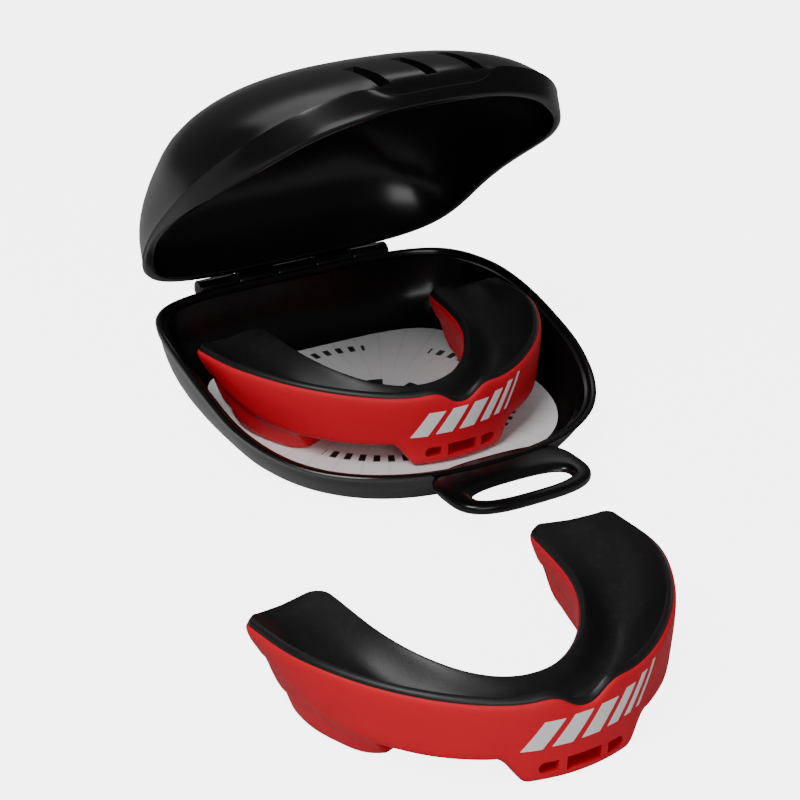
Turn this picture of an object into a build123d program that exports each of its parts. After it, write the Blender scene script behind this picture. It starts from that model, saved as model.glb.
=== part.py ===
from build123d import *
import math
import os

# A boil-and-bite mouthguard for boxing, in its hinged carry case, with a second guard
# that stands in front of the case. Millimetres. X runs to the right, Y to the back and
# Z up. The origin is the middle of the case's underside.

# ---- Driving sizes: the case ----
CASE_HALF_WIDTH = 36.5
CASE_FRONT_Y = -40.0
CASE_BACK_Y = 34.0
CASE_HEIGHT = 38.0
WALL = 1.5
FLOOR = 2.2
RIM_FRONT_Z = 8.0       # parting line, low at the front
RIM_BACK_Z = 17.0       # and high at the hinge
RIM_GAP = 0.3
LID_OPEN_DEG = 48.0
SLOT_WIDTH = 2.2
SLOT_PITCH = 9.0

# ---- Driving sizes: the hinge ----
PIN_RADIUS = 0.7
PIN_CLEARANCE = 0.05
KNUCKLE_RADIUS = 1.5
HINGE_Y = CASE_BACK_Y + 1.7
HINGE_Z = RIM_BACK_Z - 0.7
KNUCKLE_LENGTH = 8.0
KNUCKLE_GAP = 0.3
BASE_KNUCKLES = (-2, 0, 2)      # places along the hinge, counted from its middle
LID_KNUCKLES = (-1, 1)

# ---- Driving sizes: the loop and the card ----
LOOP_WIDTH = 27.0
LOOP_REACH = 12.5
LOOP_THICK = 1.8
LOOP_HOLE = (18.0, 5.6)
CARD_THICK = 0.8

# ---- Driving sizes: the guard ----
GUARD_TOP_Z = 15.0
TRAY_Z = 4.0            # underside of the tray, above the pads
SHELL_WALL = 1.3
LINER_RIM = 1.6
TROUGH_Z = 7.6
LINGUAL_FRONT_Z = 10.0
PAD_FRONT_Y = 19.4
PAD_INSET = 4.8
WALL_LEAN = 2.0         # how far the tray leans in from its rim to its underside
LEAN_TOP_Z = 11.5
VENT_SIZE = (5.6, 2.2)
SIDE_VENT = (3.5, 2.0)
SIDE_VENT_X = 5.4
CASED_AT = (0.0, -29.5, FLOOR + CARD_THICK + 0.05)
FRONT_AT = (-31.0, -112.0, 0.0)

# Half of each arch in plan, from the middle of the front to the back end.
OUTER_ARCH = [(0, 1.5), (12.5, 4.5), (23.5, 13.4), (31, 26.7), (32.8, 42.1)]
INNER_ARCH = [(0, 14.8), (8.8, 18.1), (13.6, 24.4), (16.7, 36.1), (17.4, 45.5)]

# The closed case's outline at each height: half width, front and back.
CASE_SECTIONS = [
    (0.0, 29.4, -33.0, 28.3),
    (3.0, 32.0, -36.6, 30.8),
    (8.0, 34.8, -39.4, 33.0),
    (13.0, 36.1, CASE_FRONT_Y, 33.8),
    (19.0, CASE_HALF_WIDTH, -37.2, CASE_BACK_Y),
    (25.0, 35.0, -30.6, 33.0),
    (31.0, 30.4, -21.0, 29.4),
    (35.5, 22.6, -11.0, 22.8),
    (CASE_HEIGHT, 13.0, -2.5, 15.5),
]


def case_outline(z, half_width, front, back):
    """One level of the case: straight at the back, tapering to a round front."""
    depth = back - front
    corner = 12.0 * half_width / CASE_HALF_WIDTH
    half = [
        (0.40 * half_width, front + 0.03 * depth),
        (0.76 * half_width, front + 0.15 * depth),
        (0.95 * half_width, back - 0.62 * depth),
        (half_width, back - 0.36 * depth),
        (0.985 * half_width, back - 0.9 * corner),
        (0.88 * half_width, back - 0.25 * corner),
        (0.62 * half_width, back),
    ]
    left = [(-x, y) for x, y in reversed(half)]
    points = [Vector(x, y, z) for x, y in [(0, front)] + half + [(0, back)] + left]
    return Wire([Edge.make_spline(points, periodic=True)])


def case_solid(inset):
    """The closed case as one solid, or the hollow inside it for an inset."""
    wires = []
    for z, half_width, front, back in CASE_SECTIONS:
        level = z
        if inset:
            level = FLOOR + z * (CASE_HEIGHT - WALL - FLOOR) / CASE_HEIGHT
        wires.append(case_outline(level, half_width - inset, front + inset, back - inset))
    return Solid.make_loft(wires)


def below_rim(lift):
    """Everything under the sloping S-shaped parting line, raised by lift."""
    y0, y1 = CASE_FRONT_Y - 20, CASE_BACK_Y + 20
    step = [
        (-30, RIM_FRONT_Z + lift),
        (-12, RIM_FRONT_Z + 2.2 + lift),
        (6, RIM_BACK_Z - 1.8 + lift),
        (22, RIM_BACK_Z + lift),
    ]
    with BuildSketch(Plane.YZ) as side:
        with BuildLine():
            Line((y0, -5), (y0, RIM_FRONT_Z + lift))
            Line((y0, RIM_FRONT_Z + lift), step[0])
            Spline(*step, tangents=[(1, 0), (1, 0)])
            Line(step[-1], (y1, RIM_BACK_Z + lift))
            Line((y1, RIM_BACK_Z + lift), (y1, -5))
            Line((y1, -5), (y0, -5))
        make_face()
    return extrude(side.sketch, amount=60, both=True)


def knuckle(place, side):
    """A hinge barrel with its web, on the base (side -1) or the lid (side +1)."""
    length = KNUCKLE_LENGTH
    middle = place * (KNUCKLE_LENGTH + KNUCKLE_GAP)
    barrel = Pos(middle, HINGE_Y, HINGE_Z) * Rot(0, 90, 0) * Cylinder(KNUCKLE_RADIUS, length)
    web_depth = HINGE_Y - CASE_BACK_Y + 0.9
    web = Pos(middle, HINGE_Y - web_depth / 2, HINGE_Z + side * 2.6) * Box(
        length, web_depth, 3.0
    )
    bore = Pos(middle, HINGE_Y, HINGE_Z) * Rot(0, 90, 0) * Cylinder(
        PIN_RADIUS + PIN_CLEARANCE, length + 1
    )
    return barrel + web - bore


def hinge_room(place):
    """The space that one of the other leaf's knuckles turns in."""
    middle = place * (KNUCKLE_LENGTH + KNUCKLE_GAP)
    room = Cylinder(KNUCKLE_RADIUS + 0.4, KNUCKLE_LENGTH + 2 * KNUCKLE_GAP)
    return Pos(middle, HINGE_Y, HINGE_Z) * Rot(0, 90, 0) * room


def open_lid(shape):
    """Turn a piece of the closed lid to its resting, open angle."""
    axis = Axis((0, HINGE_Y, HINGE_Z), (-1, 0, 0))
    return shape.rotate(axis, LID_OPEN_DEG)


def make_case():
    hollow = case_solid(WALL)
    shell = case_solid(0) - hollow
    base = shell & below_rim(0)
    lid = shell - below_rim(RIM_GAP)
    for place in LID_KNUCKLES:
        base -= hinge_room(place)
    for place in BASE_KNUCKLES:
        lid -= hinge_room(place)
        base += knuckle(place, -1)
    for place in LID_KNUCKLES:
        lid += knuckle(place, 1)
    base -= hollow
    lid -= hollow
    for column in (-1, 0, 1):
        slot = Pos(column * SLOT_PITCH, -32, 19) * Rot(48, 0, 0) * Box(SLOT_WIDTH, 10, 12)
        lid -= slot
    pin_length = 5 * KNUCKLE_LENGTH + 4 * KNUCKLE_GAP
    pin = Pos(0, HINGE_Y, HINGE_Z) * Rot(0, 90, 0) * Cylinder(PIN_RADIUS, pin_length)
    return base, open_lid(lid), pin


def make_loop():
    """The flat loop tab that stands out from the front of the base."""
    front = CASE_FRONT_Y + 0.4
    top = RIM_FRONT_Z - 0.4
    with BuildSketch() as plan:
        with Locations((0, front - LOOP_REACH / 2)):
            RectangleRounded(LOOP_WIDTH, LOOP_REACH, 5.0)
        with Locations((0, front - 3.0)):
            Rectangle(LOOP_WIDTH, 6.0)
        with Locations((0, front - LOOP_REACH + 2.4 + LOOP_HOLE[1] / 2)):
            SlotOverall(*LOOP_HOLE, mode=Mode.SUBTRACT)
    tab = extrude(plan.sketch, amount=-LOOP_THICK)
    tab = Pos(0, 0, top) * tab
    root = Pos(0, front + 1.5, top - LOOP_THICK / 2) * Box(LOOP_WIDTH, 3.0, LOOP_THICK)
    return (tab + root) - case_solid(0)


def make_card():
    """The printed card on the floor of the case."""
    card = case_solid(WALL + 0.6) & Pos(0, 0, FLOOR + 0.02 + CARD_THICK / 2) * Box(
        100, 100, CARD_THICK
    )
    return card


def arch(half, shift):
    """A whole arch from its right half, moved sideways by shift (inwards is positive)."""
    points = [(-x, y) for x, y in reversed(half[1:])] + half
    moved = []
    for index, (x, y) in enumerate(points):
        before = points[max(index - 1, 0)]
        after = points[min(index + 1, len(points) - 1)]
        run, rise = after[0] - before[0], after[1] - before[1]
        length = math.hypot(run, rise)
        moved.append((x - shift * rise / length, y + shift * run / length))
    return moved


def arch_face(inset):
    """The horseshoe between the two arches, drawn in by inset all round."""
    outer = arch(OUTER_ARCH, inset)
    inner = arch(INNER_ARCH, -inset)
    for line in (outer, inner):
        line[0] = (line[0][0], line[0][1] - inset)
        line[-1] = (line[-1][0], line[-1][1] - inset)
    with BuildSketch() as sketch:
        with BuildLine():
            Spline(*outer)
            Spline(*inner)
            Line(outer[-1], inner[-1])
            Line(outer[0], inner[0])
        make_face()
    return sketch.sketch


def tray_prism(inset, low, high):
    return Pos(0, 0, low) * extrude(arch_face(inset), amount=high - low)


def leaning_tray(inset, low, high):
    """The tray's body between two heights: leaning out to LEAN_TOP_Z, then upright."""
    foot = arch_face(inset + WALL_LEAN).face()
    brim = arch_face(inset).face()
    body = loft([Pos(0, 0, TRAY_Z) * foot, Pos(0, 0, LEAN_TOP_Z) * brim])
    body += tray_prism(inset, LEAN_TOP_Z, GUARD_TOP_Z + 2)
    slab = Pos(0, 25, (low + high) / 2) * Box(120, 120, high - low)
    return body & slab


def lingual_cut():
    """What is taken off above the inner wall, which is lowest behind the front teeth."""
    with BuildSketch(Plane.YZ) as side:
        with BuildLine():
            Polyline(
                (8.5, LINGUAL_FRONT_Z + 3.5), (12, LINGUAL_FRONT_Z), (16, LINGUAL_FRONT_Z),
                (40, 13.6), (46, 13.6), (46, 20), (8.5, 20), close=True,
            )
        make_face()
    wedge = extrude(side.sketch, amount=40, both=True)
    middle = [((a[0] + b[0]) / 2, (a[1] + b[1]) / 2) for a, b in zip(OUTER_ARCH, INNER_ARCH)]
    middle[-1] = (middle[-1][0], 47)
    points = [(-x, y) for x, y in reversed(middle[1:])] + middle
    with BuildSketch() as inside:
        with BuildLine():
            Spline(*points)
            Line(points[-1], points[0])
        make_face()
    return wedge & extrude(inside.sketch, amount=30)


def make_guard():
    """The guard's pieces, standing on Z = 0 with the front teeth at Y = 1.5."""
    cut = lingual_cut()
    notch = Pos(0, 1.5, GUARD_TOP_Z + 0.2) * Rot(90, 0, 0) * Cylinder(3.0, 7.0)
    trough = leaning_tray(SHELL_WALL, TRAY_Z + 1.6, GUARD_TOP_Z + 1)
    shell = leaning_tray(0, TRAY_Z, GUARD_TOP_Z) - trough - cut - notch
    valley = leaning_tray(SHELL_WALL + LINER_RIM, TROUGH_Z, GUARD_TOP_Z + 1)
    liner = leaning_tray(SHELL_WALL + 0.02, TRAY_Z + 1.62, GUARD_TOP_Z - 0.1)
    liner = liner - valley - cut - notch

    block_top = Plane.XY.offset(TRAY_Z)
    with BuildSketch() as foot:
        with Locations((0, 7.6)):
            RectangleRounded(17.6, 11.4, 3.0)
    with BuildSketch(block_top) as crown:
        with Locations((0, 8.4)):
            RectangleRounded(25.0, 11.6, 3.0)
    block = loft([foot.sketch.face(), crown.sketch.face()])
    mid_z = 2.6
    block -= Pos(0, 8, mid_z) * Box(VENT_SIZE[0], 20, VENT_SIZE[1])
    for side in (-1, 1):
        block -= Pos(side * SIDE_VENT_X, 8, mid_z) * Box(SIDE_VENT[0], 20, SIDE_VENT[1])
    block &= tray_prism(0.2, -1, TRAY_Z)

    pads = tray_prism(PAD_INSET, 0, TRAY_Z)
    with BuildSketch(Plane.YZ) as side_view:
        with BuildLine():
            Polyline(
                (PAD_FRONT_Y, TRAY_Z), (PAD_FRONT_Y, 0), (34, 0), (46, 2.4), (46, TRAY_Z),
                close=True,
            )
        make_face()
        fillet(side_view.vertices().group_by(Axis.Y)[0].sort_by(Axis.X)[0], 1.5)
    pads &= extrude(side_view.sketch, amount=40, both=True)
    left, right = pads.solids().sort_by(Axis.X)
    return {
        "shell": shell,
        "liner": liner,
        "vent_block": block,
        "bite_pad_left": left,
        "bite_pad_right": right,
    }


def main():
    base, lid, pin = make_case()
    nodes = {
        "case_base": base,
        "case_lid": lid,
        "hinge_pin": pin,
        "carry_loop": make_loop(),
        "insert_card": make_card(),
    }
    guard = make_guard()
    for prefix, place in (("cased_guard_", CASED_AT), ("front_guard_", FRONT_AT)):
        for name, piece in guard.items():
            nodes[prefix + name] = Pos(*place) * piece
    os.makedirs("parts", exist_ok=True)
    for name, piece in nodes.items():
        solids = piece.solids()
        solid = solids[0] if len(solids) == 1 else max(solids, key=lambda s: s.volume)
        export_step(solid, f"parts/{name}.step")
        box = solid.bounding_box()
        print(name, len(solids), round(solid.volume), box.min, box.max)


main()
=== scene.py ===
# %% [markdown]
# # A boxing mouthguard and its hinged case
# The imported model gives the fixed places: where the case stands, where the lid turns and
# where each guard sits. This lesson builds the finished skins over those places: two-colour
# guards, a glossy black case, a printed card, then a small studio around them.

# %% Load the frame
import math

import bmesh
import bpy
from mathutils import Matrix, Vector
from mathutils.bvhtree import BVHTree


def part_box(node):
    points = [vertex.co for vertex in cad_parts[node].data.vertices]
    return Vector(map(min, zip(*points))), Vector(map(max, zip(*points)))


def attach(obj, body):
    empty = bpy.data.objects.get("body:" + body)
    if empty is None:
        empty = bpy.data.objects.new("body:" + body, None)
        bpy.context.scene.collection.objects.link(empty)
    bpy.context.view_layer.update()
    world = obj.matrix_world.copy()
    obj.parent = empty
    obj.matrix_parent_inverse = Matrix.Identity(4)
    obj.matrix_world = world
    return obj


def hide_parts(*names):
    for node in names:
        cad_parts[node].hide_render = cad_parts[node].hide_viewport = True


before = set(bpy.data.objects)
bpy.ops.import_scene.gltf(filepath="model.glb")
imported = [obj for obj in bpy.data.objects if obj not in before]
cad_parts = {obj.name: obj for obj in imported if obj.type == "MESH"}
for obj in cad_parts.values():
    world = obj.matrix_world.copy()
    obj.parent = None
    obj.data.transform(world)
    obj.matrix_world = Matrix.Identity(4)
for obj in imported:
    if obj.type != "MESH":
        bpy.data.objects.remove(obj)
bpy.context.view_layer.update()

MM = 0.001

# %% [markdown]
# Most pieces here are skins through a row of closed outlines, the way a loft is made. The
# first outline becomes a ring of vertices, and each next one is extruded from the ring
# before it and moved into place, so a piece only has to say where its outlines lie.

# %% Helpers for rings, curves and finished pieces
def add_ring(bm, points):
    """One closed ring through the points: its vertices and its edges."""
    verts = [bm.verts.new(Vector(point) * MM) for point in points]
    edges = [bm.edges.new((verts[i - 1], verts[i])) for i in range(len(verts))]
    return verts, edges


def grow_ring(bm, ring, points):
    """Extrude a ring and move the new one onto its points, vertex for vertex."""
    grown = bmesh.ops.extrude_edge_only(bm, edges=ring[1])["geom"]
    fresh = {item for item in grown if isinstance(item, bmesh.types.BMVert)}
    verts = [next(edge.other_vert(vert) for edge in vert.link_edges
                  if edge.other_vert(vert) in fresh) for vert in ring[0]]
    for vert, point in zip(verts, points):
        vert.co = Vector(point) * MM
    return verts, [bm.edges.get((verts[i - 1], verts[i])) for i in range(len(verts))]


def stack_rings(bm, paths):
    """A skin through a list of closed outlines; returns its rings in order."""
    rings = [add_ring(bm, paths[0])]
    for path in paths[1:]:
        rings.append(grow_ring(bm, rings[-1], path))
    return rings


def cap_ends(bm, rings):
    """Close the first and the last ring with a face each."""
    for _, edges in (rings[0], rings[-1]):
        bmesh.ops.contextual_create(bm, geom=edges)


def add_block(bm, size):
    """A box of this size in mm around the origin; returns its vertices."""
    verts = bmesh.ops.create_cube(bm, size=1.0)["verts"]
    bmesh.ops.scale(bm, verts=verts, vec=Vector(size) * MM)
    return verts


def finish_piece(name, bm, levels=0, angle=40):
    """Write the bmesh to an object with outward normals, smooth shading and subdivision."""
    bmesh.ops.recalc_face_normals(bm, faces=bm.faces[:])
    mesh = bpy.data.meshes.new(name)
    bm.to_mesh(mesh)
    bm.free()
    piece = bpy.data.objects.new(name, mesh)
    bpy.context.scene.collection.objects.link(piece)
    if levels:
        smooth = piece.modifiers.new("Smooth", "SUBSURF")
        smooth.levels = smooth.render_levels = levels
        bake_modifiers(piece)
    piece.data.shade_smooth()
    if angle:
        piece.data.set_sharp_from_angle(angle=math.radians(angle))
    return piece


def bake_modifiers(piece):
    """Replace a piece's mesh by what its modifiers make of it."""
    depsgraph = bpy.context.evaluated_depsgraph_get()
    finished = bpy.data.meshes.new_from_object(piece.evaluated_get(depsgraph))
    piece.modifiers.clear()
    old, piece.data = piece.data, finished
    bpy.data.meshes.remove(old)


def cut_away(piece, cutter):
    """Subtract a cutter from a piece and throw the cutter away."""
    cut = piece.modifiers.new("Cut", "BOOLEAN")
    cut.operation, cut.solver, cut.object = "DIFFERENCE", "EXACT", cutter
    bake_modifiers(piece)
    bpy.data.objects.remove(cutter)


def start_rings():
    """A new bmesh that can keep a crease on its edges."""
    bm = bmesh.new()
    bm.edges.layers.float.new("crease_edge")
    return bm


def crease(bm, edges, amount):
    """Keep these edges sharp, by an amount from 0 to 1, when the mesh is subdivided."""
    layer = bm.edges.layers.float["crease_edge"]
    for edge in edges:
        edge[layer] = amount


def smoothstep(low, high, value):
    """0 below low, 1 above high and a soft S between them."""
    step = min(max((value - low) / (high - low), 0.0), 1.0)
    return step * step * (3 - 2 * step)


def through(points, at):
    """A smooth curve through a few points, at 0 for the first and 1 for the last."""
    place = at * (len(points) - 1)
    index = min(int(place), len(points) - 2)
    step = place - index
    before = points[index - 1] if index else Vector((-points[1].x, points[1].y, points[1].z))
    start, end = points[index], points[index + 1]
    after = points[index + 2] if index + 2 < len(points) else end * 2 - start
    return 0.5 * (
        2 * start
        + (end - before) * step
        + (2 * before - 5 * start + 4 * end - after) * step**2
        + (3 * start - before - 3 * end + after) * step**3
    )


def flat_oval(turn, half_width, back, front, power):
    """A point of a level oval; a larger power is more square."""
    along, deep = math.cos(turn), math.sin(turn)
    x = math.copysign(abs(along) ** (2 / power), along) * half_width
    y = math.copysign(abs(deep) ** (2 / power), deep) * (back - front) / 2
    return x, (front + back) / 2 + y


print("helpers ready")

# %% [markdown]
# ## The guard
# A boxing guard is two mouldings: a firm red outer shell and a soft black liner that is
# shaped to the teeth. Both follow the same dental arch. One way is to sculpt a block; a
# surer one is to sweep a cross-section along the arch, because every height and thickness
# can then be set where the teeth need it. The labial edge is the outer rim behind the lip,
# the lingual edge the inner rim beside the tongue.

# %% The two rims of the arch
LABIAL = [Vector(p) for p in (
    (0, 1.5, 14.1), (12.5, 4.5, 14.3), (23.5, 13.4, 14.9), (31, 26.7, 15.1), (32.8, 42.1, 13.8))]
LINGUAL = [Vector(p) for p in (
    (0, 14.8, 9.9), (6.0, 16.2, 10.4), (11.3, 20.7, 11.6), (15.4, 29.3, 12.9), (17.4, 45.5, 13.5))]
TRAY_Z = 4.3            # underside of the tray between block and pads
BLOCK_FLAT, BLOCK_EDGE = 0.17, 0.262
PAD_START = 0.56
BAND = 0.85             # the liner's bevelled rim
LABIAL_SHOULDER, LINGUAL_SHOULDER = 0.55, 0.25   # red left bare outside the liner's rim
END_ROUND = 3.0
END_AT = 0.945          # where the rounding of the tips begins
TIP_STEPS = (1.0, 0.85, 0.68, 0.5, 0.33, 0.17)   # how round the last sections are
PAD_STEP_Z = 8.6        # the step between tray and pad, seen at a tip
NOTCH_DEPTH = 2.0       # of the dip in the outer rim, at the middle of the lip


def rims(at):
    """Labial and lingual rim points at a signed place along the arch, -1 left to 1 right."""
    side = -1 if at < 0 else 1
    labial, lingual = through(LABIAL, abs(at)), through(LINGUAL, abs(at))
    notch = math.exp(-abs(labial.x / 3.1) ** 3)
    labial.z -= NOTCH_DEPTH * notch
    labial.z += 0.35 * math.exp(-((labial.x - 5.6) / 2.2) ** 2)
    labial.x, lingual.x = side * labial.x, side * lingual.x
    return labial, lingual


def underside(at):
    """Height of the bottom: vent block at the front, bite pads at the back."""
    at = abs(at)
    block = smoothstep(BLOCK_FLAT, BLOCK_EDGE, at) ** 0.8
    pad = smoothstep(PAD_START, PAD_START + 0.018, at)
    slope = 2.8 * smoothstep(0.76, 1.05, at)
    return TRAY_Z * block * (1 - pad) + slope * pad


def trough_floor(at):
    """Height of the liner's valley: deep along the teeth, open and shallow at the ends."""
    at = abs(at)
    return 6.6 + 0.9 * smoothstep(0.1, 0.6, at) + 5.0 * smoothstep(0.55, 1.0, at)


STATIONS = sorted(
    {round(i / 44, 4) for i in range(45)}
    | {BLOCK_FLAT + 0.012 * i for i in range(-2, 9)}
    | {PAD_START + 0.0045 * i for i in range(-3, 9)}
)
STATIONS = [at for at in STATIONS if at < END_AT - 0.005] + [END_AT]
ARCH = [-at for at in reversed(STATIONS[1:])] + STATIONS
print("arch stations:", len(ARCH))

# %% [markdown]
# Each station has a short cross-section, given as distance from the inner rim and height.
# The red section carries a soft crease where the tray meets the bite pad, and the pad is set
# a little inside the tray. The liner's section starts with the bevelled band that lies on
# the red wall, falls to the valley and climbs to the other rim.

# %% Cross-sections of the shell and the liner
def red_section(at, width, labial_z, lingual_z):
    bottom = underside(at)
    back = smoothstep(0.35, 0.75, abs(at))
    padded = smoothstep(PAD_START, PAD_START + 0.02, abs(at))
    front_round = 2.2 * math.exp(-((abs(at) - PAD_START) / 0.04) ** 2) * padded
    crease_z = TRAY_Z + 0.5 + 4.0 * smoothstep(PAD_START + 0.02, 0.97, abs(at))
    blocked = 1 - smoothstep(BLOCK_FLAT, BLOCK_EDGE + 0.02, abs(at))
    crease_z = crease_z * (1 - blocked) + (bottom + 1.4) * blocked
    lean = 0.35 + 1.3 * back
    step = 0.4 * (1 - blocked) + 0.25 * padded
    wall = []
    for rim_z, sign in ((labial_z, 1), (lingual_z, -1)):
        slope = lean if sign > 0 else 0.5 + 0.5 * back
        shoulder = LABIAL_SHOULDER if sign > 0 else LINGUAL_SHOULDER
        tall = rim_z - BAND - crease_z
        wall.append([
            (shoulder, rim_z - BAND + 0.05),
            (0.35 * shoulder, rim_z - BAND - 0.1),
            (0.02 * slope, rim_z - BAND - 0.1 - 0.1 * tall),
            (0.2 * slope, rim_z - BAND - 0.45 * tall),
            (0.62 * slope, crease_z + 0.22 * tall),
            (0.80 * slope, crease_z + 0.15),
            (slope + step, crease_z - 0.25 - 0.15 * padded),
            (slope + step + 0.3 + 0.5 * padded + 0.45 * front_round,
             bottom + (crease_z - bottom) * 0.42),
            (slope + step + 0.6 + 0.9 * padded + front_round, bottom + 0.35),
            (slope + step + 1.4 + 1.0 * padded + front_round, bottom),
        ])
    outer = [(width - inset, z) for inset, z in wall[0]]
    inner = [(inset, z) for inset, z in reversed(wall[1])]
    hidden_z = min(trough_floor(at) - 1.0, lingual_z - 2.0)
    hidden = [(1.3, lingual_z - 1.6), (2.6, hidden_z), (width - 2.6, hidden_z),
              (width - 1.3, labial_z - 1.6)]
    return outer + inner + hidden


def liner_section(at, width, labial_z, lingual_z):
    floor_z = trough_floor(at)
    valley = 0.40 * width
    back = smoothstep(0.7, 1.0, abs(at))
    drop_l, drop_g = labial_z - floor_z, lingual_z - floor_z
    top = [
        (width - LABIAL_SHOULDER, labial_z - BAND + 0.05),
        (width - LABIAL_SHOULDER - 0.85, labial_z),
        (width - LABIAL_SHOULDER - 1.1, labial_z - 0.16),
        (width - 2.15 - 0.6 * back, labial_z - 0.26 * drop_l),
        (width - 3.3 - 0.8 * back, labial_z - 0.60 * drop_l),
        (width - 5.0, labial_z - 0.83 * drop_l),
        (valley + 1.6, floor_z + 0.04 * drop_l),
        (valley - 0.4, floor_z),
        (valley - 1.9, floor_z + 0.22 * drop_g),
        (2.5, floor_z + 0.62 * drop_g),
        (1.65, floor_z + 0.88 * drop_g),
        (LINGUAL_SHOULDER + 0.95, lingual_z - 0.12),
        (LINGUAL_SHOULDER + 0.72, lingual_z),
        (LINGUAL_SHOULDER, lingual_z - BAND + 0.05),
    ]
    under_z = min(floor_z - 0.8, lingual_z - 1.7)
    below = [(0.9, lingual_z - 1.3), (2.8, under_z), (width - 2.8, under_z),
             (width - 0.9, labial_z - 1.3)]
    return top + below


def tip_lag(z):
    """How far the tip is set back at a height: the tray slopes in to the pad's step."""
    if z > PAD_STEP_Z:
        return 1.8 * (1 - smoothstep(8.8, 12.8, z))
    return 1.3 + 2.0 * (1 - smoothstep(2.0, 7.0, z))


def placed_ring(at, section, end=0.0):
    """Stand a cross-section on its station; end rounds the last few past the tips."""
    labial, lingual = rims(at)
    across = (labial - lingual).to_2d()
    width = across.length
    across.normalize()
    along = Vector((across.y, -across.x)) * (-1 if at < 0 else 1)
    if along.y < 0:
        along = -along
    turn = end * math.pi / 2
    advance = END_ROUND * math.sin(turn)
    squeeze = END_ROUND * (1 - math.cos(turn))
    points = []
    profile = section(at, width, labial.z, lingual.z)
    top = max(z for _, z in profile)
    low = min(z for _, z in profile)
    near_end = smoothstep(0.84, END_AT, abs(at))
    for offset, z in profile:
        pulled = width / 2 + (offset - width / 2) * (1 - 2 * squeeze / width)
        height = z + 0.35 * squeeze * (top + low - 2 * z) / (top - low)
        spot = lingual.to_2d() + across * pulled + along * (advance - near_end * tip_lag(z))
        points.append((spot.x, spot.y, height))
    return points


def sweep_guard(name, section, sharp, at_mm):
    """Sweep a section along the arch; sharp lists the section points that keep an edge."""
    bm = start_rings()
    stops = [(-END_AT, end) for end in TIP_STEPS] + [(at, 0.0) for at in ARCH]
    stops += [(END_AT, end) for end in reversed(TIP_STEPS)]
    rings = stack_rings(bm, [placed_ring(at, section, end) for at, end in stops])
    for index in sharp:
        for one, two in zip(rings, rings[1:]):
            edge = bm.edges.get((one[0][index], two[0][index]))
            crease(bm, [edge], 0.75)
    cap_ends(bm, rings)
    bmesh.ops.translate(bm, verts=bm.verts[:], vec=Vector(at_mm) * MM)
    return finish_piece(name, bm, 1, angle=None)


RED_SHARP = (0, 19)                     # where the red wall ends under the liner's rim
LINER_SHARP = (0, 1, 2, 11, 12, 13)     # both bevelled rims of the liner
print("section points:", len(red_section(0, 14, 14, 10)), len(liner_section(0, 14, 14, 10)))

# %% [markdown]
# Air channels go through the vent block so that the boxer can breathe with the teeth shut:
# a wide one in the middle and a round-ended one each side. They are cut with rounded blocks.
# The printed mark on the front is made of plain slanted bars, laid on the wall by finding
# the nearest point of the finished shell and given a hair of thickness.

# %% Vents, bars and one whole guard
VENT_Z = 2.7
VENTS = [  # place along the front, width, height and which side is rounded
    (0, 5.6, 2.3, 0), (-5.5, 2.9, 1.9, -1), (5.5, 2.9, 1.9, 1),
]
PRINT_GAP, PRINT_THICKNESS = 0.035, 0.05
SHELL_FOOT = 4.0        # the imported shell's underside over the guard's own origin


def vent_cutter(x, width, height, round_side, at_mm):
    """A block to cut one air channel; round_side -1 or 1 rounds that side fully."""
    bm = bmesh.new()
    add_block(bm, (width, 30, height))
    if round_side:
        long_edges = [
            edge for edge in bm.edges
            if abs(edge.verts[0].co.y - edge.verts[1].co.y) > MM
            and edge.verts[0].co.x * round_side > 0
        ]
        bmesh.ops.bevel(bm, geom=long_edges, offset=0.49 * height * MM, segments=6,
                        profile=0.5, affect="EDGES", material=-1)
    place = Vector((x, 8, VENT_Z)) + Vector(at_mm)
    bmesh.ops.translate(bm, verts=bm.verts[:], vec=place * MM)
    return finish_piece("vent_cutter", bm, angle=None)


BARS = [  # place of the foot, width and lean along the wall, bottom and top height
    (-9.6, 3.0, 3.2, 6.0, 10.4),
    (-5.2, 3.0, 3.2, 6.2, 10.6),
    (-0.8, 3.0, 3.2, 6.4, 10.8),
    (3.6, 1.9, 3.4, 6.6, 11.4),
    (6.8, 1.2, 3.6, 6.8, 12.0),
    (9.3, 0.7, 3.8, 7.0, 12.6),
]


def printed_bars(name, shell, at_mm):
    """Slanted bars that lie on the front wall of the shell."""
    tree = BVHTree.FromObject(shell, bpy.context.evaluated_depsgraph_get())
    bm = bmesh.new()
    place = Vector(at_mm)
    for foot, width, lean, low, high in BARS:
        patch = bmesh.ops.create_grid(bm, x_segments=6, y_segments=6, size=0.5)
        for vert in patch["verts"]:
            run, rise = vert.co.x + 0.5, vert.co.y + 0.5
            x = foot + width * run + lean * rise
            z = low + (high - low) * rise
            start = (Vector((x, -12, z)) + place) * MM
            spot, normal, _, _ = tree.ray_cast(start, Vector((0, 1, 0)))
            vert.co = spot + normal * PRINT_GAP * MM
    bmesh.ops.solidify(bm, geom=bm.faces[:], thickness=PRINT_THICKNESS * MM)
    return finish_piece(name, bm, angle=30)


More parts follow.
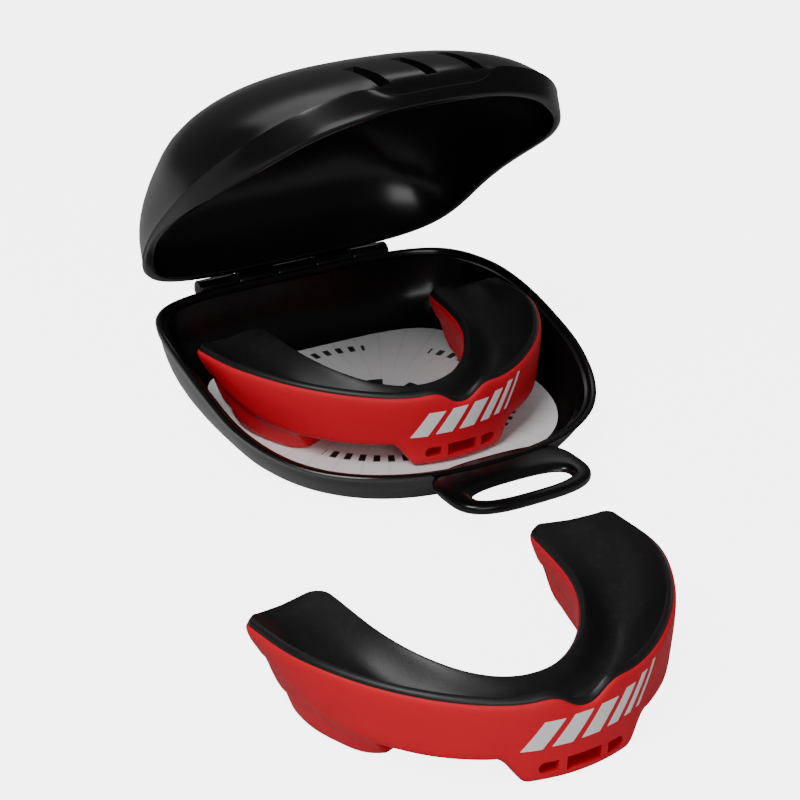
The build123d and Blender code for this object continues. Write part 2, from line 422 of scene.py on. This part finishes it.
def make_guard(prefix, at_mm):
    """Shell, liner and printed bars of one guard that stands at this place in mm."""
    shell = sweep_guard(prefix + "red_shell", red_section, RED_SHARP, at_mm)
    bars = printed_bars(prefix + "printed_bars", shell, at_mm)
    for vent in VENTS:
        cut_away(shell, vent_cutter(*vent, at_mm))
    shell.data.shade_smooth()
    shell.data.set_sharp_from_angle(angle=math.radians(42))
    liner = sweep_guard(prefix + "gel_liner", liner_section, LINER_SHARP, at_mm)
    body = prefix + "guard"
    nodes = ["shell", "vent_block", "bite_pad_left", "bite_pad_right"]
    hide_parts(*[f"{body}_{node}" for node in nodes])
    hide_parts(f"{body}_liner")
    for piece, slot in ((shell, "guard_red"), (liner, "liner_black"), (bars, "card_white")):
        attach(piece, body)
    print(prefix, "faces:", len(shell.data.polygons), len(liner.data.polygons))
    return shell, liner, bars


def guard_place(prefix):
    """Where the guard's own origin is, read from its packed shell."""
    low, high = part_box(prefix + "guard_shell")
    front_gap = LABIAL[0].y
    return (low.x + high.x) / 2 / MM, low.y / MM - front_gap, low.z / MM - SHELL_FOOT


GUARDS = [make_guard(prefix, guard_place(prefix)) for prefix in ("cased_", "front_")]

# %% [markdown]
# ## The case
# The case is two thin plastic shells that meet on a sloping line, low in front and high at
# the hinge. Each shell is a stack of rings: up the outside, over the lip and down the
# inside, so the wall has a true thickness. One outline formula serves both halves, which is
# what makes them meet when the lid is shut.

# %% Outline of the case
HALF_WIDTH, FRONT_Y, BACK_Y, TOP_Z = 36.6, -40.0, 34.0, 38.0
WALL, FLOOR_Z = 1.5, 2.2
RIM_FRONT_Z, RIM_BACK_Z = 8.0, 17.0
HINGE = Vector((0, 35.7, 16.3))
OPEN_ANGLE = math.radians(48)
RIM_FROM, RIM_TO = -30, 20          # where the parting line climbs, from front to back
TUCK, TUCK_TOP = 7.2, 18            # how far the foot is tucked in, and up to which height
BACK_TUCK = 0.79                    # share of the tuck at the back
SIDE_START, FRONT_START = 14, 12.5  # where sides and back, and the front, begin to close in
FRONT_RUN = 38                      # how far back the front slopes on its way to the top
MIDDLE_Y = 6.0                      # of the crown
ROUND = 2.6                         # power of the curves of foot and crown
CROWN_GAP = 0.3                     # keeps the crown's curves just short of their end
AROUND = 112                        # points of an outline


def rim_height(y):
    """Height of the parting line at a place from front to back."""
    return RIM_FRONT_Z + (RIM_BACK_Z - RIM_FRONT_Z) * smoothstep(RIM_FROM, RIM_TO, y)


def outline(turn, half_width, front, back):
    """A point of a level outline: boxy at the hinge side, rounder at the front."""
    power = 2.35 + 2.2 * smoothstep(-0.3, 0.85, math.sin(turn))
    return flat_oval(turn, half_width, back, front, power)


def level(z):
    """Half width, front and back of the closed case at a height."""
    low = TUCK * max(0.0, 1 - z / TUCK_TOP) ** ROUND
    rise = min(max((z - SIDE_START) / (TOP_Z - SIDE_START + CROWN_GAP), 0.0), 1.0)
    round_over = (1 - rise**ROUND) ** (1 / ROUND)
    front_rise = min(max((z - FRONT_START) / (TOP_Z - FRONT_START + CROWN_GAP), 0.0), 1.0)
    front = FRONT_Y + low + FRONT_RUN * (0.5 * front_rise + 0.5 * front_rise**2)
    back = MIDDLE_Y + (BACK_Y - low * BACK_TUCK - MIDDLE_Y) * round_over
    return (HALF_WIDTH - low) * round_over, min(front, back - 0.02), back


def case_point(turn, z, inset=0.0):
    """A point of the closed case's skin, or of the surface inset from it."""
    half_width, front, back = level(z)
    x, y = outline(turn, max(half_width - inset, 0.02), front + inset, back - inset)
    return x, y, z


def rim_point(turn, lift=0.0, inset=0.0):
    """The point of the parting line at this turn, raised by lift."""
    z = RIM_BACK_Z
    for _ in range(3):
        z = rim_height(case_point(turn, z)[1]) + lift
    return case_point(turn, z, inset)


TURNS = [2 * math.pi * (i + 0.5) / AROUND for i in range(AROUND)]
print("case outline points:", AROUND)

# %% [markdown]
# The base rises from a tucked-in foot to a lip that stands out a little, goes over it and
# drops inside to a flat floor. A few rings are creased so that subdivision keeps their edge.

# %% Base of the case
FLOOR_ROUND = 1.2       # height of the soft corner between wall and floor


def base_ring(part, inset=0.0, lowest=0.0):
    """A ring part of the way from the bottom (0) to the parting line (1)."""
    ring = []
    for turn in TURNS:
        rim_z = rim_point(turn)[2]
        ring.append(case_point(turn, lowest + (rim_z - lowest) * part, inset))
    return ring


def shrunk(points, share, z):
    """The same outline, drawn in towards its middle and laid level at z."""
    middle_y = sum(point[1] for point in points) / len(points)
    return [(x * share, middle_y + (y - middle_y) * share, z) for x, y, _ in points]


def case_base():
    bm = start_rings()
    foot = [case_point(turn, 0.0) for turn in TURNS]
    floor = [case_point(turn, FLOOR_Z + FLOOR_ROUND, WALL + 1.4) for turn in TURNS]
    paths = [shrunk(foot, 0.4, 0.0), shrunk(foot, 0.94, 0.0), shrunk(foot, 1.0, 0.35)]
    paths += [base_ring(part) for part in (0.16, 0.3, 0.5, 0.72, 0.86)]
    lip = [(0.87, -0.35), (0.96, -0.45), (0.995, -0.1), (1.0, 0.35), (0.985, 0.75)]
    paths += [base_ring(part, inset) for part, inset in lip]
    paths += [base_ring(0.93, 0.85), base_ring(0.925, WALL), base_ring(0.8, WALL)]
    paths += [base_ring(part, WALL, 1.0) for part in (0.6, 0.4)]
    paths += [floor, shrunk(floor, 0.95, FLOOR_Z + 0.2), shrunk(floor, 0.9, FLOOR_Z)]
    paths.append(shrunk(floor, 0.4, FLOOR_Z))
    rings = stack_rings(bm, paths)
    for index in (1, 9, 13, 14):    # edge of the foot, the lip, and the step inside it
        crease(bm, rings[index][1], 0.5)
    cap_ends(bm, rings)
    return finish_piece("case_tray", bm, 1, angle=50)


tray = case_base()
print("tray faces:", len(tray.data.polygons))

# %% [markdown]
# The lid is the same kind of stack, modelled shut and then turned to its open rest. Above
# the lip it has an upright skirt that ends in a crisp edge. The edge dips in the middle to
# leave a thumb scoop, and three vent slots run up the slope from it.

# %% Lid of the case
SKIRT, BACK_SKIRT = 4.6, 0.7
SCOOP_HALF, SCOOP_DIP = 12.5, 2.6
RIM_GAP = 0.3
OUTSIDE = (1.05, 1.12, 1.2, 1.3, 1.42, 1.55, 1.68, 1.8, 1.9, 1.96, 1.985)
INSIDE = (1.97, 1.9, 1.68, 1.42, 1.2, 1.05, 0.9, 0.4, 0.0)
SLOPE = 50              # of the front above the edge, in degrees
SLOT_SIZE, SLOT_STEP = (2.3, 12.5, 9.0), 9.0
SLOT_Y, SLOT_Z = -34.5, 17.6


def scoop(x, y):
    """How much of the thumb scoop is at this place on the front, 0 to 1."""
    return (1 - smoothstep(0.62, 1.0, abs(x) / SCOOP_HALF)) * (1 - smoothstep(-10, 10, y))


def edge_height(turn):
    """Height of the crisp edge above the rim: tall in front, gone at the hinge."""
    x, y, z = rim_point(turn, RIM_GAP)
    skirt = BACK_SKIRT + (SKIRT - BACK_SKIRT) * (1 - smoothstep(RIM_FROM, RIM_TO, y))
    return z + skirt - SCOOP_DIP * scoop(x, y)


def lid_ring(part, inset=0.0, jut=0.0):
    """A ring from the rim (0) to the edge (1); parts over 1 run on up to the crown (2)."""
    ring = []
    for turn in TURNS:
        rim_z, edge_z = rim_point(turn, RIM_GAP)[2], edge_height(turn)
        if part <= 1:
            z = rim_z + (edge_z - rim_z) * part
        else:
            z = edge_z + (TOP_Z - inset * 0.9 - edge_z) * math.sin((part - 1) * math.pi / 2)
        ring.append(case_point(turn, z, inset - jut))
    return ring


def opened(bm):
    """Turn what was modelled shut to the lid's open rest."""
    bmesh.ops.rotate(bm, verts=bm.verts[:], cent=HINGE * MM,
                     matrix=Matrix.Rotation(-OPEN_ANGLE, 3, "X"))


def case_lid():
    bm = start_rings()
    inner = [lid_ring(part, WALL) for part in INSIDE]
    paths = [lid_ring(0.0, 0.5), lid_ring(0.0, 0.12), lid_ring(0.08, -0.05), lid_ring(0.5)]
    paths += [lid_ring(0.9, 0, 0.1), lid_ring(1.0, 0, 0.35), lid_ring(1.01, 0, 0.2)]
    paths += [lid_ring(part) for part in OUTSIDE]
    rings = stack_rings(bm, inner + paths)
    for index in (len(inner), len(inner) + 5):      # the rim and the crisp edge
        crease(bm, rings[index][1], 0.8)
    cap_ends(bm, rings)
    opened(bm)
    return finish_piece("case_dome", bm, 1, angle=50)


def slot_cutter(column):
    """A block to cut one slot; column -1, 0 or 1 is its place across the front."""
    bm = bmesh.new()
    add_block(bm, SLOT_SIZE)
    bmesh.ops.bevel(bm, geom=bm.edges[:], offset=0.25 * MM, segments=2, profile=0.5,
                    affect="EDGES", material=-1)
    bmesh.ops.rotate(bm, verts=bm.verts[:], matrix=Matrix.Rotation(math.radians(SLOPE), 3, "X"))
    place = Vector((SLOT_STEP * column, SLOT_Y, SLOT_Z))
    bmesh.ops.translate(bm, verts=bm.verts[:], vec=place * MM)
    opened(bm)
    return finish_piece("slot_cutter", bm, angle=None)


dome = case_lid()
for column in (-1, 0, 1):
    cut_away(dome, slot_cutter(column))
dome.data.shade_smooth()
dome.data.set_sharp_from_angle(angle=math.radians(38))
print("dome faces:", len(dome.data.polygons))

# %% [markdown]
# The hinge has short moulded barrels, in turn on the base and on the lid, around one steel
# pin. Each barrel is a cylinder with softened rims on a small web.

# %% Hinge barrels
BARREL_LENGTH, BARREL_GAP, BARREL_RADIUS = 8.0, 0.3, 1.8
WEB_SIZE = (BARREL_LENGTH - 0.5, 2.4, 2.6)
WEB_Y, WEB_RISE = -1.3, 2.3     # the web's middle from the barrel's


def barrel(name, place, on_lid):
    """One barrel, place steps along the hinge from its middle."""
    bm = bmesh.new()
    bmesh.ops.create_cone(bm, cap_ends=True, segments=40, radius1=BARREL_RADIUS * MM,
                          radius2=BARREL_RADIUS * MM, depth=BARREL_LENGTH * MM,
                          matrix=Matrix.Rotation(math.pi / 2, 4, "Y"))
    round_edges = [edge for edge in bm.edges
                   if any(len(face.verts) > 4 for face in edge.link_faces)]
    bmesh.ops.bevel(bm, geom=round_edges, offset=0.25 * MM, segments=3, profile=0.5,
                    affect="EDGES", material=-1)
    middle = Vector((place * (BARREL_LENGTH + BARREL_GAP), HINGE.y, HINGE.z))
    bmesh.ops.translate(bm, verts=bm.verts[:], vec=middle * MM)
    web = add_block(bm, WEB_SIZE)
    rise = WEB_RISE if on_lid else -WEB_RISE
    bmesh.ops.translate(bm, verts=web, vec=(middle + Vector((0, WEB_Y, rise))) * MM)
    if on_lid:
        opened(bm)
    return finish_piece(name, bm, angle=35)


barrels = []
for number, place in enumerate((-2, -1, 0, 1, 2)):
    on_lid = place in (-1, 1)
    barrels.append((barrel(f"hinge_barrel_{number + 1}", place, on_lid),
                    "lid" if on_lid else "case"))
print("barrels:", len(barrels))

# %% [markdown]
# The loop is a flat tab for a key ring. It is a band with rounded edges, swept once around
# the slot: each section runs from the tab's rim to the rim of the opening, and the last one
# is welded to the first. The card lies loose on the floor of the tray.

# %% Loop tab and card
LOOP_LOW, LOOP_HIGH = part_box("carry_loop")
TAB_HALF, HOLE_HALF = 13.5, 9.6
TAB_ROOT = 5.0          # how far the tab reaches in under the case's front
HOLE_NEAR, HOLE_FAR = 2.4, 8.0      # from the tab's front edge
TAB_SECTIONS = 48
TAB_SECTION = [  # share of the way from rim to hole, height as a share of half the thickness
    (0.0, 0.45), (0.1, 1.0), (0.45, 1.0), (0.86, 1.0), (1.0, 0.45),
    (1.0, -0.45), (0.86, -1.0), (0.45, -1.0), (0.1, -1.0), (0.0, -0.45),
]


def loop_tab():
    """A flat band around the slot, swept section by section around the opening."""
    low, high = LOOP_LOW / MM, LOOP_HIGH / MM
    bm = bmesh.new()
    front, middle_z, half = low.y, (low.z + high.z) / 2, (high.z - low.z) / 2
    sections = []
    for step in range(TAB_SECTIONS):
        turn = 2 * math.pi * (step + 0.5) / TAB_SECTIONS
        rim_x, rim_y = flat_oval(turn, TAB_HALF, FRONT_Y + TAB_ROOT, front, 3.2)
        hole_x, hole_y = flat_oval(turn, HOLE_HALF, front + HOLE_FAR, front + HOLE_NEAR, 2.6)
        sections.append([
            (rim_x + (hole_x - rim_x) * share, rim_y + (hole_y - rim_y) * share,
             middle_z + half * rise)
            for share, rise in TAB_SECTION
        ])
    stack_rings(bm, [*sections, sections[0]])
    bmesh.ops.remove_doubles(bm, verts=bm.verts[:], dist=0.001 * MM)
    return finish_piece("loop_tab", bm, 1, angle=40)


def card_sheet():
    """The card: the tray's own outline at the floor, kept clear of the wall."""
    bm = bmesh.new()
    low_z, high_z = (corner.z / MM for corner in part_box("insert_card"))
    paths = []
    for z, inset in ((low_z, 0.1), (low_z + 0.1, 0), (high_z - 0.1, 0), (high_z, 0.1)):
        ring = []
        for turn in TURNS:
            x, y, _ = case_point(turn, FLOOR_Z + 0.6, WALL + 0.9 + inset)
            ring.append((x, y, z))
        paths.append(ring)
    rings = stack_rings(bm, paths)
    cap_ends(bm, rings)
    return finish_piece("printed_card", bm, angle=30)


tab, card = loop_tab(), card_sheet()
for piece, body, slot, nodes in (
    (tray, "case", "case_black", ["case_base"]), (dome, "lid", "case_black", ["case_lid"]),
    (tab, "case", "case_black", ["carry_loop"]), (card, "case", "card_white", ["insert_card"]),
):
    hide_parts(*nodes)
    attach(piece, body)
for piece, body in barrels:
    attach(piece, body)
print("case pieces:", 4 + len(barrels))

# %% [markdown]
# ## Finishes
# Two effects are shared by several materials, so each is a node group: a fine moulded grain
# and a thin dust that settles on faces that look up.

# %% Shared effects
def new_group(name, inputs, outputs):
    """An empty shader group: inputs by name with their defaults, outputs by name."""
    group = bpy.data.node_groups.new(name, "ShaderNodeTree")
    for label, default in inputs.items():
        socket = group.interface.new_socket(label, in_out="INPUT", socket_type="NodeSocketFloat")
        socket.default_value = default
    for label in outputs:
        group.interface.new_socket(label, in_out="OUTPUT", socket_type="NodeSocketFloat")
    tree = group.nodes
    return group, tree.new("NodeGroupInput"), tree.new("NodeGroupOutput")


def grain_group():
    """Height and smudge masks of a moulded surface, at a scale in grains per metre."""
    group, start, end = new_group(
        "moulded grain", {"Fine": 6000.0, "Broad": 120.0}, ["Height", "Smudge"])
    nodes, links = group.nodes, group.links
    place = nodes.new("ShaderNodeTexCoord")
    fine, broad = nodes.new("ShaderNodeTexNoise"), nodes.new("ShaderNodeTexNoise")
    broad.inputs["Detail"].default_value = 5.0
    fine.inputs["Detail"].default_value = 3.0
    links.new(place.outputs["Object"], fine.inputs["Vector"])
    links.new(place.outputs["Object"], broad.inputs["Vector"])
    links.new(start.outputs["Fine"], fine.inputs["Scale"])
    links.new(start.outputs["Broad"], broad.inputs["Scale"])
    links.new(fine.outputs["Fac"], end.inputs["Height"])
    links.new(broad.outputs["Fac"], end.inputs["Smudge"])
    return group


def dust_group():
    """A sparse mask of settled dust on faces that look up."""
    group, start, end = new_group("settled dust", {"Amount": 0.2}, ["Mask"])
    nodes, links = group.nodes, group.links
    geometry, split = nodes.new("ShaderNodeNewGeometry"), nodes.new("ShaderNodeSeparateXYZ")
    place, noise = nodes.new("ShaderNodeTexCoord"), nodes.new("ShaderNodeTexNoise")
    spread, mask = nodes.new("ShaderNodeMapRange"), nodes.new("ShaderNodeMath")
    scaled = nodes.new("ShaderNodeMath")
    noise.inputs["Scale"].default_value = 900.0
    noise.inputs["Detail"].default_value = 4.0
    spread.inputs["From Min"].default_value = 0.55
    spread.inputs["From Max"].default_value = 0.8
    mask.operation = scaled.operation = "MULTIPLY"
    mask.use_clamp = True
    links.new(geometry.outputs["Normal"], split.inputs["Vector"])
    links.new(place.outputs["Object"], noise.inputs["Vector"])
    links.new(noise.outputs["Fac"], spread.inputs["Value"])
    links.new(spread.outputs["Result"], mask.inputs[0])
    links.new(split.outputs["Z"], mask.inputs[1])
    links.new(mask.outputs["Value"], scaled.inputs[0])
    links.new(start.outputs["Amount"], scaled.inputs[1])
    links.new(scaled.outputs["Value"], end.inputs["Mask"])
    return group


GRAIN, DUST = grain_group(), dust_group()
print("shared effects:", GRAIN.name, DUST.name)

# %% [markdown]
# Each finish is a Principled BSDF with its own colour and gloss. The grain lifts its Bump
# and moves its Roughness a little, and the dust pales the black plastic. Rubber reflects
# less than hard plastic, so the red and the gel get a lower specular level.

# %% Moulded finishes
def moulded(name, colour, shade, roughness, swing, grain, depth, dust=0.0):
    """A moulded plastic or rubber: colour to shade by smudge, roughness within swing."""
    material = bpy.data.materials.new(name)
    material.use_nodes = True
    nodes, links = material.node_tree.nodes, material.node_tree.links
    shader = nodes["Principled BSDF"]
    effect = nodes.new("ShaderNodeGroup")
    effect.node_tree = GRAIN
    effect.inputs["Fine"].default_value, effect.inputs["Broad"].default_value = grain
    tint = nodes.new("ShaderNodeMix")
    tint.data_type = "RGBA"
    tint.inputs["A"].default_value = (*colour, 1)
    tint.inputs["B"].default_value = (*shade, 1)
    links.new(effect.outputs["Smudge"], tint.inputs["Factor"])
    source = tint.outputs["Result"]
    if dust:
        settled, pale = nodes.new("ShaderNodeGroup"), nodes.new("ShaderNodeMix")
        settled.node_tree = DUST
        settled.inputs["Amount"].default_value = dust
        pale.data_type = "RGBA"
        pale.inputs["B"].default_value = (0.25, 0.25, 0.25, 1)
        links.new(settled.outputs["Mask"], pale.inputs["Factor"])
        links.new(source, pale.inputs["A"])
        source = pale.outputs["Result"]
    links.new(source, shader.inputs["Base Color"])
    gloss = nodes.new("ShaderNodeMapRange")
    gloss.inputs["From Min"].default_value, gloss.inputs["From Max"].default_value = 0.3, 0.7
    gloss.inputs["To Min"].default_value = roughness - swing
    gloss.inputs["To Max"].default_value = roughness + swing
    links.new(effect.outputs["Smudge"], gloss.inputs["Value"])
    links.new(gloss.outputs["Result"], shader.inputs["Roughness"])
    bump = nodes.new("ShaderNodeBump")
    bump.inputs["Strength"].default_value = 0.35
    bump.inputs["Distance"].default_value = depth * MM
    links.new(effect.outputs["Height"], bump.inputs["Height"])
    links.new(bump.outputs["Normal"], shader.inputs["Normal"])
    return material, shader


red, red_shader = moulded(
    "red moulded rubber", (0.60, 0.010, 0.022), (0.54, 0.008, 0.019), 0.52, 0.04,
    (5200, 90), 0.05)
red_shader.inputs["Specular IOR Level"].default_value = 0.14
gel, gel_shader = moulded(
    "black gel liner", (0.007, 0.007, 0.0072), (0.010, 0.010, 0.0102), 0.42, 0.05,
    (4200, 110), 0.06, dust=0.03)
gel_shader.inputs["Specular IOR Level"].default_value = 0.32
black, black_shader = moulded(
    "black case plastic", (0.0025, 0.0025, 0.0026), (0.004, 0.004, 0.0041), 0.23, 0.03,
    (3000, 70), 0.012, dust=0.006)
black_shader.inputs["Specular IOR Level"].default_value = 0.35
steel, steel_shader = moulded(
    "plain steel wire", (0.55, 0.55, 0.56), (0.45, 0.45, 0.46), 0.32, 0.08, (9000, 300), 0.02)
steel_shader.inputs["Metallic"].default_value = 1.0
ink, _ = moulded(
    "pale printing ink", (0.74, 0.74, 0.76), (0.70, 0.70, 0.72), 0.5, 0.05, (5000, 200), 0.02)
print("finishes:", [m.name for m in (red, gel, black, steel, ink)])

# %% [markdown]
# The card is printed: a soft grey gradient, fine rays from its middle and a broken black
# border ring. Rays and ring come from the angle and the distance around the card's middle.

# %% Printed card
RING_INNER, RING_OUTER = 22.2, 24.6
STAR_RADIUS, FADE_RADIUS = 9, 30


def card_print():
    """Pale card with rays, a small star and a dashed ring, from plain arithmetic."""
    material = bpy.data.materials.new("printed card")
    material.use_nodes = True
    nodes, links = material.node_tree.nodes, material.node_tree.links
    shader = nodes["Principled BSDF"]
    place, split = nodes.new("ShaderNodeTexCoord"), nodes.new("ShaderNodeSeparateXYZ")
    links.new(place.outputs["Object"], split.inputs["Vector"])

    def maths(operation, first, second=None, clamp=False):
        node = nodes.new("ShaderNodeMath")
        node.operation, node.use_clamp = operation, clamp
        for socket, value in zip(node.inputs, (first, second)):
            if isinstance(value, (int, float)):
                socket.default_value = value
            elif value is not None:
                links.new(value, socket)
        return node.outputs["Value"]

    def spokes(count, above):
        """Evenly spread wedges; a higher level makes them thinner."""
        return maths("GREATER_THAN", maths("SINE", maths("MULTIPLY", angle, count)), above)

    x, y = split.outputs["X"], split.outputs["Y"]
    angle = maths("ARCTAN2", y, x)
    far = maths("SQRT", maths("ADD", maths("MULTIPLY", x, x), maths("MULTIPLY", y, y)))
    rays = spokes(36, 0.95)
    dashes = maths("MULTIPLY", spokes(58, 0.1), spokes(5, -0.2))
    ring = maths("MULTIPLY", maths("GREATER_THAN", far, RING_INNER * MM),
                 maths("LESS_THAN", far, RING_OUTER * MM))
    star = maths("MULTIPLY", maths("LESS_THAN", far, STAR_RADIUS * MM), spokes(6, 0.2))
    black_part = maths("ADD", maths("MULTIPLY", ring, dashes), star, clamp=True)
    grey = maths("MULTIPLY", rays, 0.16)
    fade = nodes.new("ShaderNodeValToRGB")
    fade.color_ramp.elements[0].color = (0.42, 0.42, 0.43, 1)
    fade.color_ramp.elements[1].color = (0.80, 0.80, 0.81, 1)
    links.new(maths("MULTIPLY", far, 1 / (FADE_RADIUS * MM)), fade.inputs["Fac"])
    lined, printed = nodes.new("ShaderNodeMix"), nodes.new("ShaderNodeMix")
    for mix, shade in ((lined, 0.3), (printed, 0.012)):
        mix.data_type = "RGBA"
        mix.inputs["B"].default_value = (shade, shade, shade, 1)
    links.new(grey, lined.inputs["Factor"])
    links.new(fade.outputs["Color"], lined.inputs["A"])
    links.new(black_part, printed.inputs["Factor"])
    links.new(lined.outputs["Result"], printed.inputs["A"])
    links.new(printed.outputs["Result"], shader.inputs["Base Color"])
    shader.inputs["Roughness"].default_value = 0.42
    return material


paper = card_print()
for piece, finish in [(tray, black), (dome, black), (tab, black), (card, paper)]:
    piece.data.materials.append(finish)
for piece, _ in barrels:
    piece.data.materials.append(black)
for shell, liner, bars in GUARDS:
    shell.data.materials.append(red)
    liner.data.materials.append(gel)
    bars.data.materials.append(ink)
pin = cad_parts["hinge_pin"]
for place in pin.material_slots:
    place.material = steel
print("finishes assigned")

# %% [markdown]
# ## Studio
# Black plastic mirrors whatever stands around it, so a bright floor would turn it grey. The
# floor here glows only for the camera and stays dull for every other ray. One soft light
# from above left draws the highlight on the lid, one in front lifts the red walls, and a
# strip behind traces the edges.

# %% Floor, lights and camera
FLOOR_GLOW = 5.0
WORLD_STRENGTH = 0.09


def studio_floor():
    """A floor that looks white to the camera but throws little light back at the object."""
    bm = bmesh.new()
    bmesh.ops.create_grid(bm, x_segments=2, y_segments=2, size=3.0)
    floor = finish_piece("studio_floor", bm, angle=None)
    finish = bpy.data.materials.new("studio floor")
    finish.use_nodes = True
    nodes, links = finish.node_tree.nodes, finish.node_tree.links
    shader = nodes["Principled BSDF"]
    shader.inputs["Base Color"].default_value = (0.5, 0.5, 0.5, 1)
    shader.inputs["Emission Color"].default_value = (1, 1, 1, 1)
    shader.inputs["Roughness"].default_value = 0.9
    path, glow = nodes.new("ShaderNodeLightPath"), nodes.new("ShaderNodeMath")
    glow.operation = "MULTIPLY"
    glow.inputs[1].default_value = FLOOR_GLOW
    links.new(path.outputs["Is Camera Ray"], glow.inputs[0])
    links.new(glow.outputs["Value"], shader.inputs["Emission Strength"])
    floor.data.materials.append(finish)
    return floor


def soft_light(name, place, aim, size, power):
    """A rectangular area light at a place in metres, turned to what it lights."""
    data = bpy.data.lights.new(name, "AREA")
    data.shape, data.size, data.size_y, data.energy = "RECTANGLE", size[0], size[1], power
    lamp = bpy.data.objects.new(name, data)
    lamp.location = place
    lamp.rotation_euler = (Vector(aim) - Vector(place)).to_track_quat("-Z", "Y").to_euler()
    bpy.context.scene.collection.objects.link(lamp)
    return lamp


floor = studio_floor()
CENTRE = Vector((-0.0163, -0.0342, 0.0214))
soft_light("key", (-0.45, -0.25, 0.65), CENTRE, (0.35, 0.35), 5.8)
soft_light("front", (-0.25, -0.75, 0.35), CENTRE, (0.5, 0.3), 2.4)
soft_light("back strip", (0.1, 0.6, 0.5), CENTRE, (0.7, 0.15), 0.5)
world = bpy.data.worlds.new("studio")
world.use_nodes = True
world.node_tree.nodes["Background"].inputs["Color"].default_value = (1, 1, 1, 1)
world.node_tree.nodes["Background"].inputs["Strength"].default_value = WORLD_STRENGTH
bpy.context.scene.world = world

AZIMUTH, ELEVATION, DISTANCE = math.radians(-30), math.radians(26), 0.34
direction = Vector((
    math.sin(AZIMUTH) * math.cos(ELEVATION),
    -math.cos(AZIMUTH) * math.cos(ELEVATION),
    math.sin(ELEVATION),
))
camera_data = bpy.data.cameras.new("camera")
camera_data.lens, camera_data.sensor_width = 93, 36
camera = bpy.data.objects.new("camera", camera_data)
camera.location = CENTRE + direction * DISTANCE
camera.rotation_euler = (-direction).to_track_quat("-Z", "Y").to_euler()
bpy.context.scene.collection.objects.link(camera)
bpy.context.scene.camera = camera
print("camera at", [round(v, 3) for v in camera.location])
